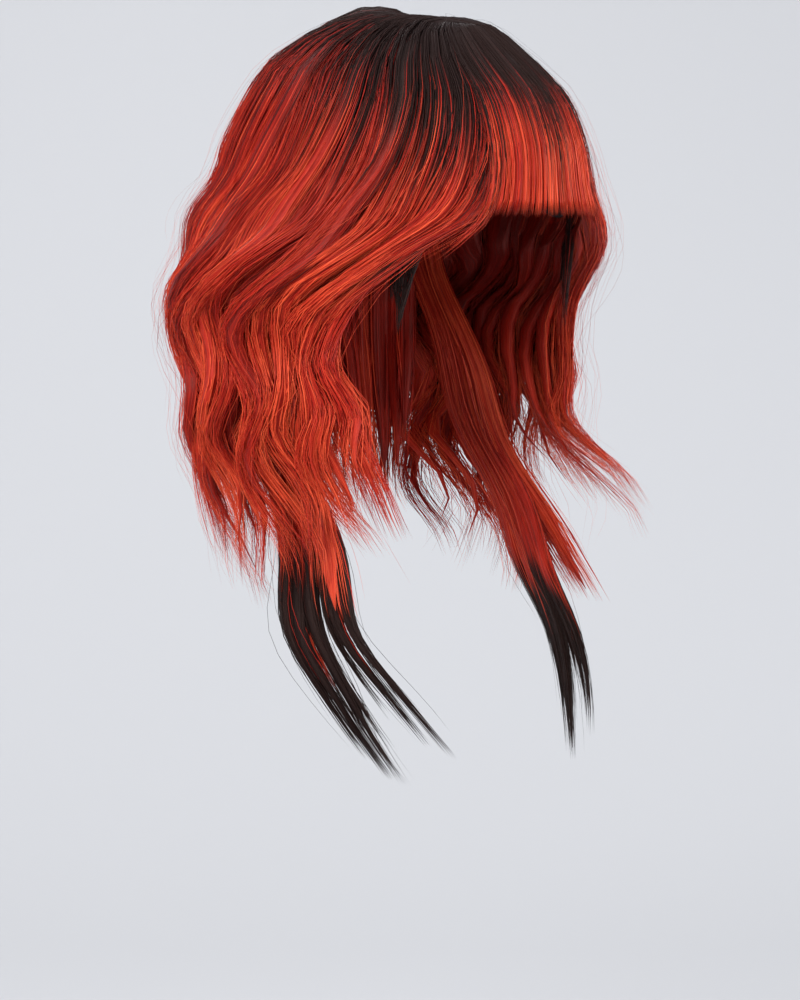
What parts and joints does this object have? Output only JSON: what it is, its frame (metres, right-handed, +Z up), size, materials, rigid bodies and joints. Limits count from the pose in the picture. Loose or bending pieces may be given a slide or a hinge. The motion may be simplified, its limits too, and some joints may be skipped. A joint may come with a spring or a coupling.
{
  "type": "synthetic wig",
  "caption": "Layered synthetic wig with a straight fringe, centre parting and loose red waves from dark roots, and long straight dark tails that come forward over the shoulders.",
  "frame": {"origin": "top of the inside of the cap, where the crown of the head touches it", "axes": "+Z up through the crown, -Y the way the face looks, -X the wearer's right side"},
  "size_m": [0.2628, 0.2465, 0.4312],
  "materials": {
    "cap_fabric": "matt elastic net with sewn wefts",
    "scalp_skin": "matt dark scalp strip",
    "fringe_hair": "satin red fibre with dark roots",
    "red_hair": "satin red fibre with dark roots",
    "nape_fibre": "satin dark fibre, red above",
    "tail_hair": "satin fibre, red above and black at the ends",
    "dark_hair": "satin black fibre"
  },
  "bodies": {
    "root": {"wig_cap": "cap_fabric", "scalp_strip": "scalp_skin", "bangs": "fringe_hair", "front_waves_right": "red_hair", "front_waves_left": "red_hair", "back_waves_right": "red_hair", "back_waves_left": "red_hair", "nape_hair": "nape_fibre", "tail_right": "tail_hair", "tail_left": "tail_hair", "wisp_right": "dark_hair", "wisp_left": "dark_hair"}
  },
  "joints": []
}
